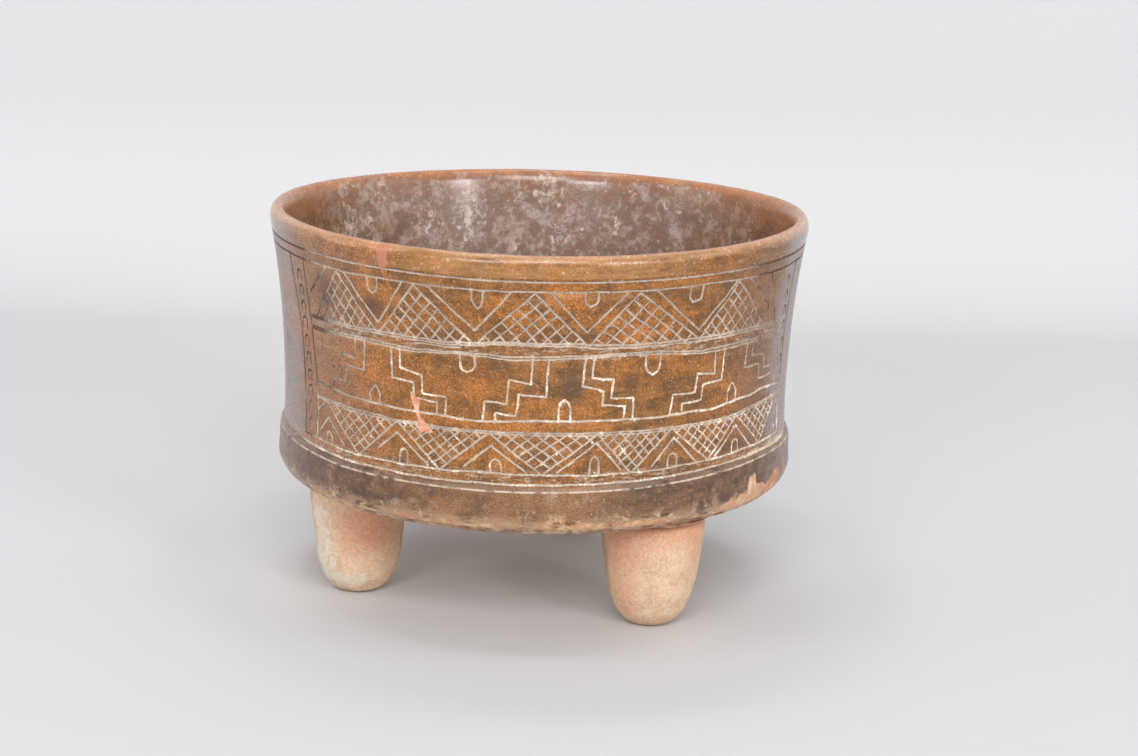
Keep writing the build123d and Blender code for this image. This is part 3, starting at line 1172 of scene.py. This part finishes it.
def inside_finish(tree, groups, outside):
    """Lays the inside's darker slip and its grey mineral deposits over the outside's colour."""
    place = place_on_piece(tree)
    where = placed(tree, groups["place"])
    height = where.outputs["Height"]
    inside = mask(tree, "inside")
    broad = mottle(tree, place, 28.0, 4.0, 0.6, 0.5)
    level = mottle(tree, drawn_out(tree, 4.0), 90.0, 5.0, 0.7)
    fine = mottle(tree, place, 420.0, 6.0, 0.78)
    middle = mottle(tree, place, 150.0, 5.0, 0.72, 0.2)
    back = scaled(tree, broad, 60.0, apart(tree, where.outputs["Bearing"], 0.0))
    grey = ramp(tree, scaled(tree, middle, 24.0, back), 150.0, 186.0)
    low = fall(tree, scaled(tree, middle, 22.0, height), 128.0, 160.0)
    slip = inside_slip(tree, place, level, fine, middle, grey, height)
    crumb = inside_deposits(tree, groups, place, most(tree, times(tree, low, 0.8), grey))
    slip = coat(tree, slip, (218, 204, 192), crumb)
    rough = scaled(tree, ramp(tree, height, 122.0, 134.0), -0.12, -0.03)
    rough = times(tree, inside, scaled(tree, crumb, 0.2, rough))
    return blend(tree, inside, outside, slip), rough


def pale_filling(tree, colour):
    """The pale mineral rubbed into the cut lines, and painted shade along their sides."""
    place = place_on_piece(tree)
    line = mask(tree, "line")
    crumbs = mottle(tree, place, 1100.0, 3.0, 0.7)
    patchy = mottle(tree, place, 210.0, 4.0, 0.65)
    # Painted shade down the sloping sides of each cut line
    sides = times(tree, ramp(tree, line, 0.02, 0.35), 0.5)
    colour = coat(tree, colour, (72, 50, 36), sides)
    amount = scaled(tree, patchy, 1.3, scaled(tree, crumbs, 0.8, -1.05))
    bright = maths(tree, "ADD", mask(tree, "pale"), amount, clamp=True)
    filling = seen(96, 76, 64)
    for low, high, paler in ((0.05, 0.45, seen(166, 150, 136)), (0.45, 0.8, seen(196, 178, 160)),
                             (0.82, 1.0, seen(240, 226, 208))):
        filling = blend(tree, ramp(tree, bright, low, high), filling, paler)
    spill = scaled(tree, crumbs, 2.4, scaled(tree, patchy, 1.2, -2.02))
    ragged = ramp(tree, maths(tree, "ADD", line, spill), 0.0, 0.3)
    cover = times(tree, ragged, ramp(tree, line, -0.6, -0.2), less(tree, mask(tree, "inside")))
    return blend(tree, cover, colour, filling), cover


def limy_crust(tree, place, patchy, colour):
    """The pale crust that is caked along the top of the band, with its mask."""
    lumpy = mottle(tree, place, 520.0, 5.0, 0.75)
    caked = scaled(tree, lumpy, 6.0, times(tree, mask(tree, "crust"), 1.6))
    crust = ramp(tree, caked, 4.0, 4.35)
    chalky = blend(tree, ramp(tree, patchy, 0.4, 0.6), seen(210, 190, 148), seen(234, 219, 182))
    return blend(tree, times(tree, crust, 0.9), colour, chalky), crust


def pink_run(tree, groups, colour):
    """The pink run of thin clay laid over a colour."""
    run = placed(tree, groups["run"]).outputs["Mask"]
    return coat(tree, colour, (192, 124, 98), run, 0.85)


def dusty_lines(tree, height, colour):
    """Dust along the double line over the steps and along the ring over the band."""
    dust = mottle(tree, drawn_out(tree, 3.0), 330.0, 5.0, 0.75)
    gap = maths(tree, "MINIMUM", apart(tree, height, 109.6), apart(tree, height, 64.6))
    dust = times(tree, fall(tree, gap, 1.6, 3.8), ramp(tree, dust, 0.5, 0.62))
    return coat(tree, colour, (190, 170, 152), dust, 0.7)


def wall_slip(groups):
    """Outside: mottled brown slip, pale mineral in the cut lines. Inside: darker, with deposits."""
    material, tree, shader = new_material("burnished wall slip", 0.34)
    place = place_on_piece(tree)
    colour, grain, relief = burnished(tree, groups)
    colour = dusty_lines(tree, placed(tree, groups["place"]).outputs["Height"], colour)
    colour, inside_rough = inside_finish(tree, groups, colour)
    colour, cover = pale_filling(tree, colour)
    flaked = mask(tree, "flaked")
    patchy = mottle(tree, place, 190.0, 4.0, 0.65)
    raw = blend(tree, ramp(tree, patchy, 0.4, 0.62), seen(212, 138, 108), seen(238, 190, 160))
    colour = blend(tree, flaked, colour, raw)
    colour, crust = limy_crust(tree, place, patchy, colour)
    colour = pink_run(tree, groups, colour)
    rough = maths(tree, "ADD", scaled(tree, grain, 0.12, 0.26), inside_rough)
    rough = scaled(tree, cover, 0.4, rough)
    rough = scaled(tree, most(tree, flaked, crust), 0.45, rough)
    relief = scaled(tree, mottle(tree, place, 1300.0, 3.0, 0.6), cover, relief)
    finish_skin(tree, shader, colour, relief, 0.3, 0.0003, rough)
    return material


def rim_slip(groups):
    """The rim: the wall's slip, worn to tan along the lip, with one pink run."""
    material, tree, shader = new_material("burnished rim slip", 0.3)
    where = placed(tree, groups["place"])
    inside = mask(tree, "inside")
    colour, _, relief = burnished(tree, groups)
    small = mottle(tree, place_on_piece(tree), 160.0, 5.0, 0.7)
    level = mottle(tree, drawn_out(tree, 6.0), 90.0, 5.0, 0.65)
    fresh = fall(tree, scaled(tree, level, 5.0, where.outputs["Height"]), 143.0, 147.0)
    front = fall(tree, apart(tree, where.outputs["Bearing"], 0.0), 16.0, 42.0)
    front = times(tree, fresh, front, ramp(tree, level, 0.15, 0.75))
    colour = coat(tree, colour, (202, 148, 96), front, 0.6)
    colour, inside_rough = inside_finish(tree, groups, colour)
    streaky = scaled(tree, level, 6.0, where.outputs["Height"])
    ruddy = times(tree, inside, ramp(tree, streaky, 142.8, 146.0), 0.75)
    brown = blend(tree, ramp(tree, small, 0.38, 0.6), seen(138, 84, 50), seen(182, 112, 60))
    colour = blend(tree, ruddy, colour, brown)
    worn = times(tree, ramp(tree, streaky, 142.6, 147.2), scaled(tree, inside, -0.65, 1.0))
    colour = coat(tree, colour, (200, 154, 118), worn, 0.8)
    flecks = blotches(tree, groups, 900.0, scaled(tree, level, 0.5, times(tree, worn, 0.1)), 0.08)
    colour = coat(tree, colour, (226, 196, 166), flecks, 0.7)
    dark = blotches(tree, groups, 300.0, 0.2, 0.1)
    colour = coat(tree, colour, (108, 74, 52), dark, 0.3)
    colour = pink_run(tree, groups, colour)
    rough = scaled(tree, flecks, 0.3, scaled(tree, small, 0.14, 0.1))
    rough = maths(tree, "ADD", rough, scaled(tree, inside, 0.17, inside_rough))
    finish_skin(tree, shader, colour, relief, 0.12, 0.0003, rough)
    return material


def band_losses(tree, bearing, height, colour):
    """Buff and salmon clay bared along the band's lower edge, most of it at the right."""
    place = place_on_piece(tree)
    broad = mottle(tree, place, 50.0, 4.0, 0.6)
    small = mottle(tree, place, 240.0, 5.0, 0.7)
    ragged = mottle(tree, place, 85.0, 6.0, 0.66, 0.5)
    buff = blend(tree, ramp(tree, small, 0.38, 0.62), seen(196, 140, 102), seen(222, 184, 146))
    edge = scaled(tree, ragged, 13.0, scaled(tree, broad, 6.0, height))
    low = fall(tree, edge, 56.8, 58.2)
    colour = blend(tree, times(tree, low, 0.9), colour, buff)
    right = times(tree, ramp(tree, bearing, 40.0, 43.0), fall(tree, bearing, 67.0, 71.0))
    finger = fall(tree, apart(tree, bearing, 54.6), 1.0, 2.2)
    tall = scaled(tree, ramp(tree, bearing, 40.5, 45.5), 5.2, 46.6)
    tall = scaled(tree, finger, 5.6, tall)
    tall = scaled(tree, ramp(tree, bearing, 58.0, 64.0), 3.4, tall)
    torn = scaled(tree, ragged, 13.0, maths(tree, "SUBTRACT", height, 8.0))
    torn = scaled(tree, small, 3.0, torn)
    loss = times(tree, ramp(tree, maths(tree, "SUBTRACT", tall, torn), 0.0, 0.7), right)
    salmon = blend(tree, ramp(tree, broad, 0.4, 0.6), seen(192, 134, 104), seen(206, 160, 128))
    salmon = coat(tree, salmon, (222, 190, 156), ramp(tree, small, 0.48, 0.62))
    return blend(tree, loss, colour, salmon), most(tree, loss, low)


def band_ground(tree, crackle, bearing, broad, small, level):
    """The band's own slip: olive brown and amber at the front, with a painted mauve sheen on the left
    and a painted grey sheen towards both sides.
    """
    tone = scaled(tree, small, 0.5, times(tree, level, 0.5))
    colour = blend(tree, ramp(tree, tone, 0.4, 0.6), seen(84, 60, 44), seen(130, 94, 64))
    front = fall(tree, apart(tree, bearing, -4.0), 6.0, 34.0)
    amber = scaled(tree, crackle.outputs["Grain"], 0.15, ramp(tree, broad, 0.36, 0.64))
    colour = coat(tree, colour, (166, 116, 70), front, amber, 0.7)
    colour = coat(tree, colour, (66, 46, 32), crackle.outputs["Net"], 0.4)
    # Painted mauve sheen on the left side
    left = fall(tree, bearing, -62.0, -30.0)
    colour = coat(tree, colour, (104, 82, 76), left, 0.5)
    # Painted grey sheen towards both sides and round the back
    band_side_sheen = ramp(tree, apart(tree, bearing, 0.0), 56.0, 74.0)
    return coat(tree, colour, (156, 136, 124), band_side_sheen, ramp(tree, small, 0.3, 0.6), 0.6)


def band_slip(groups):
    """The band: dark olive-brown slip with dusty smears, and losses along its lower edge."""
    material, tree, shader = new_material("burnished band slip", 0.36)
    place = place_on_piece(tree)
    where = placed(tree, groups["place"])
    bearing = where.outputs["Bearing"]
    height = where.outputs["Height"]
    crackle = placed(tree, groups["crackle"], Cell=800.0)
    broad = mottle(tree, place, 32.0, 4.0, 0.6, 0.3)
    small = mottle(tree, place, 230.0, 5.0, 0.7)
    level = mottle(tree, drawn_out(tree, 3.5), 90.0, 5.0, 0.68)
    colour = band_ground(tree, crackle, bearing, broad, small, level)
    shelf = times(tree, ramp(tree, mask(tree, "shelf"), 0.1, 0.8), ramp(tree, level, 0.3, 0.6))
    colour = coat(tree, colour, (160, 136, 120), shelf, 0.35)
    crease = times(tree, ramp(tree, mask(tree, "crease"), 0.35, 0.8), ramp(tree, small, 0.36, 0.56))
    colour = coat(tree, colour, (214, 198, 180), crease, 0.8)
    smears = blotches(tree, groups, 100.0, 0.34, 0.16)
    colour = coat(tree, colour, (186, 160, 136), smears, 0.5)
    crumbs = blotches(tree, groups, 850.0, 0.26, 0.08)
    colour = coat(tree, colour, (206, 184, 160), crumbs, 0.6)
    flecks = blotches(tree, groups, 160.0, 0.36, 0.06)
    lower = fall(tree, scaled(tree, level, 10.0, height), 52.0, 60.0)
    colour = coat(tree, colour, (216, 182, 146), flecks, lower)
    rubbed = times(tree, fall(tree, height, 47.5, 53.5), ramp(tree, level, 0.36, 0.56), 0.7)
    colour = coat(tree, colour, (202, 164, 130), rubbed)
    colour, bare = band_losses(tree, bearing, height, colour)
    colour, crust = limy_crust(tree, place, small, colour)
    bare = most(tree, bare, crust)
    rough = scaled(tree, bare, 0.4, scaled(tree, smears, 0.15, 0.3))
    relief = scaled(tree, bare, -1.2, crackle.outputs["Height"])
    finish_skin(tree, shader, colour, relief, 0.4, 0.0004, rough)
    return material


def floor_slip(groups):
    """The floor: slip and deposits inside, buff and salmon clay at the edge and underneath."""
    material, tree, shader = new_material("floor slip", 0.5)
    place = place_on_piece(tree)
    radius = placed(tree, groups["place"]).outputs["Radius"]
    broad = mottle(tree, place, 24.0, 5.0, 0.6, 0.6)
    small = mottle(tree, place, 210.0, 5.0, 0.7)
    fine = mottle(tree, place, 800.0, 3.0, 0.7)
    under = blend(tree, ramp(tree, broad, 0.4, 0.6), seen(182, 148, 122), seen(206, 180, 154))
    under = coat(tree, under, (146, 102, 72), ramp(tree, small, 0.45, 0.65), 0.6)
    edge = times(tree, ramp(tree, radius, 84.0, 94.0), ramp(tree, small, 0.38, 0.6))
    brown = most(tree, times(tree, blotches(tree, groups, 38.0, 0.45, 0.16), 0.5), edge)
    under = coat(tree, under, (132, 94, 62), brown)
    under = coat(tree, under, (222, 190, 154), ramp(tree, fine, 0.5, 0.66), 0.4)
    colour, inside_rough = inside_finish(tree, groups, under)
    rough = maths(tree, "ADD", scaled(tree, mask(tree, "inside"), -0.14, 0.7), inside_rough)
    finish_skin(tree, shader, colour, maths(tree, "ADD", fine, small), 0.4, 0.0004, rough)
    return material


def bare_clay():
    """The feet: unslipped buff clay, granular, with salmon blushes, whitish deposits and painted shade
    under the bowl.
    """
    material, tree, shader = new_material("bare granular clay", 0.85, 0.3)
    place = place_on_piece(tree)
    middle = mottle(tree, place, 110.0, 5.0, 0.68)
    grains = mottle(tree, place, 1300.0, 5.0, 0.85)
    pits = mottle(tree, place, 340.0, 5.0, 0.72)
    colour = blend(tree, ramp(tree, middle, 0.38, 0.62), seen(204, 160, 130), seen(223, 188, 158))
    blush = scaled(tree, middle, 1.2, maths(tree, "SUBTRACT", mask(tree, "blush"), 0.85))
    blush = ramp(tree, blush, -0.1, 0.8)
    colour = coat(tree, colour, (208, 134, 104), blush, 0.8)
    sandy = scaled(tree, grains, 0.75, times(tree, pits, 0.25))
    light = times(tree, ramp(tree, sandy, 0.42, 0.62), scaled(tree, blush, -0.3, 0.7))
    colour = coat(tree, colour, (242, 218, 182), light)
    chalk = scaled(tree, pits, 2.4, maths(tree, "SUBTRACT", mask(tree, "chalk"), 1.7))
    colour = coat(tree, colour, (224, 216, 200), ramp(tree, chalk, 0.0, 0.55), 0.8)
    # Painted shade at the feet's tops and inner flanks
    foot_shade = scaled(tree, pits, 1.4, maths(tree, "SUBTRACT", mask(tree, "foot_shade"), 1.0))
    colour = coat(tree, colour, (142, 110, 88), ramp(tree, foot_shade, 0.0, 0.6), 0.6)
    dark = times(tree, fall(tree, grains, 0.3, 0.42), 0.12)
    colour = coat(tree, colour, (156, 112, 86), dark)
    relief = scaled(tree, pits, -0.8, times(tree, grains, 0.8))
    finish_skin(tree, shader, colour, relief, 0.5, 0.0006)
    return material


def luting_clay():
    """The smear round each foot's top: buff clay with some slip dragged over it."""
    material, tree, shader = new_material("luting clay", 0.75, 0.35)
    place = place_on_piece(tree)
    middle = mottle(tree, place, 120.0, 5.0, 0.68)
    grains = mottle(tree, place, 760.0, 4.0, 0.75)
    colour = blend(tree, ramp(tree, middle, 0.38, 0.62), seen(142, 100, 72), seen(206, 160, 124))
    colour = coat(tree, colour, (96, 70, 52), ramp(tree, grains, 0.48, 0.62), 0.4)
    finish_skin(tree, shader, colour, maths(tree, "ADD", grains, middle), 0.4, 0.0005)
    return material


def studio_paper():
    """The pale seamless paper that the bowl stands on, clear to a camera that is behind it."""
    material, tree, shader = new_material("studio paper", 0.9, 0.1)
    behind = tree.nodes.new("ShaderNodeNewGeometry").outputs["Backfacing"]
    camera = tree.nodes.new("ShaderNodeLightPath").outputs["Is Camera Ray"]
    tree.links.new(less(tree, times(tree, behind, camera)), shader.inputs["Alpha"])
    shader.inputs["Base Color"].default_value = seen(208, 208, 210)
    return material


# The sheet of paper and the camera, in metres and degrees
paper_front_y = -4.0
paper_back_y = 0.45
paper_bend = 0.12
paper_top_z = 3.0
paper_half_width = 3.0
camera_place = (0.0, -0.8854, 0.2873)
camera_lens = 76.04
camera_sensor = 36.0
camera_swing = -0.81
camera_dip = 13.28
camera_roll = 1.60


def make_backdrop():
    """A wide sheet of paper that curves up behind the bowl."""
    bm = bmesh.new()
    points = [(paper_front_y, 0.0), (paper_back_y, 0.0)]
    for k in range(1, 17):
        t = math.radians(90 * k / 16)
        points.append((paper_back_y + paper_bend * math.sin(t), paper_bend - paper_bend * math.cos(t)))
    points.append((paper_back_y + paper_bend, paper_top_z))
    verts = [bm.verts.new((-paper_half_width, y, z)) for y, z in points]
    edges = [bm.edges.new(pair) for pair in zip(verts, verts[1:])]
    wide = bmesh.ops.extrude_edge_only(bm, edges=edges)
    moved = [g for g in wide["geom"] if isinstance(g, bmesh.types.BMVert)]
    bmesh.ops.translate(bm, vec=(2 * paper_half_width, 0, 0), verts=moved)
    bmesh.ops.recalc_face_normals(bm, faces=bm.faces)
    bm.normal_update()
    floor = min(bm.faces, key=lambda face: face.calc_center_median().y)
    if floor.normal.z < 0:
        bmesh.ops.reverse_faces(bm, faces=bm.faces)
    for face in bm.faces:
        face.smooth = True
    mesh = bpy.data.meshes.new("studio_paper")
    bm.to_mesh(mesh)
    bm.free()
    mesh.materials.append(studio_paper())
    paper = bpy.data.objects.new("studio_paper", mesh)
    bpy.context.scene.collection.objects.link(paper)


def make_camera():
    """The camera that the photo's rim and base outlines fit."""
    data = bpy.data.cameras.new("camera")
    data.lens = camera_lens
    data.sensor_width = camera_sensor
    camera = bpy.data.objects.new("camera", data)
    camera.location = camera_place
    turned = Matrix.Rotation(math.radians(camera_swing), 4, "Z")
    tipped = Matrix.Rotation(math.radians(90 - camera_dip), 4, "X")
    rolled = Matrix.Rotation(math.radians(camera_roll), 4, "Z")
    camera.rotation_euler = (turned @ tipped @ rolled).to_euler()
    bpy.context.scene.collection.objects.link(camera)
    bpy.context.scene.camera = camera


# Each lamp: its place, the height on the axis that it faces, its size and its watts
lamps = {
    "front_soft": ((0.1, -2.3, 1.65), 0.1, (1.4, 0.9), 31.0),
    "front_left_low": ((-1.15, -2.6, 1.15), 0.1, (0.8, 0.5), 20.0),
    "front_right_low": ((1.75, -2.2, 1.0), 0.1, (0.7, 0.6), 21.0),
    "overhead_left": ((-0.33, -0.2, 1.5), 0.08, (0.25, 0.25), 1.7),
    "overhead_right": ((0.38, -0.2, 1.5), 0.08, (0.25, 0.25), 1.4),
    "back_soft": ((-0.12, 0.42, 1.5), 0.12, (0.5, 0.15), 2.4),
    "left_side_soft": ((-1.6, -0.2, 0.7), 0.08, (0.9, 0.9), 3.8),
    "right_side_soft": ((1.6, -0.3, 0.7), 0.08, (0.9, 0.9), 2.8),
}


def make_lights():
    """The soft lamps and a dim white surround."""
    for name, (place, aim_z, size, watts) in lamps.items():
        data = bpy.data.lights.new(name, "AREA")
        data.shape = "RECTANGLE"
        data.size, data.size_y = size
        data.energy = watts
        lamp = bpy.data.objects.new(name, data)
        lamp.location = place
        aim = Vector((0.0, 0.0, aim_z))
        lamp.rotation_euler = (Vector(place) - aim).to_track_quat("Z", "Y").to_euler()
        bpy.context.scene.collection.objects.link(lamp)
    world = bpy.data.worlds.new("studio air")
    world.use_nodes = True
    sky = world.node_tree.nodes["Background"]
    sky.inputs["Color"].default_value = (1.0, 1.0, 1.0, 1.0)
    sky.inputs["Strength"].default_value = 0.42
    bpy.context.scene.world = world


def main():
    """Makes the finishes, the pieces on their nodes, the paper, the camera and the lamps."""
    bpy.context.scene.view_settings.view_transform = "Standard"
    groups = {"place": bearing_group(), "crackle": crackle_group(), "blotch": blotch_group()}
    groups["run"] = streak_group(groups["place"])
    make_wall(wall_slip(groups))
    make_rim(rim_slip(groups))
    make_band(band_slip(groups))
    floor_finish = floor_slip(groups)
    make_floor(floor_finish)
    make_corner(floor_finish)
    clay = bare_clay()
    smear = luting_clay()
    for name in foot_places:
        make_foot(name, clay)
        make_lute(name, smear)
    make_backdrop()
    make_camera()
    make_lights()


main()
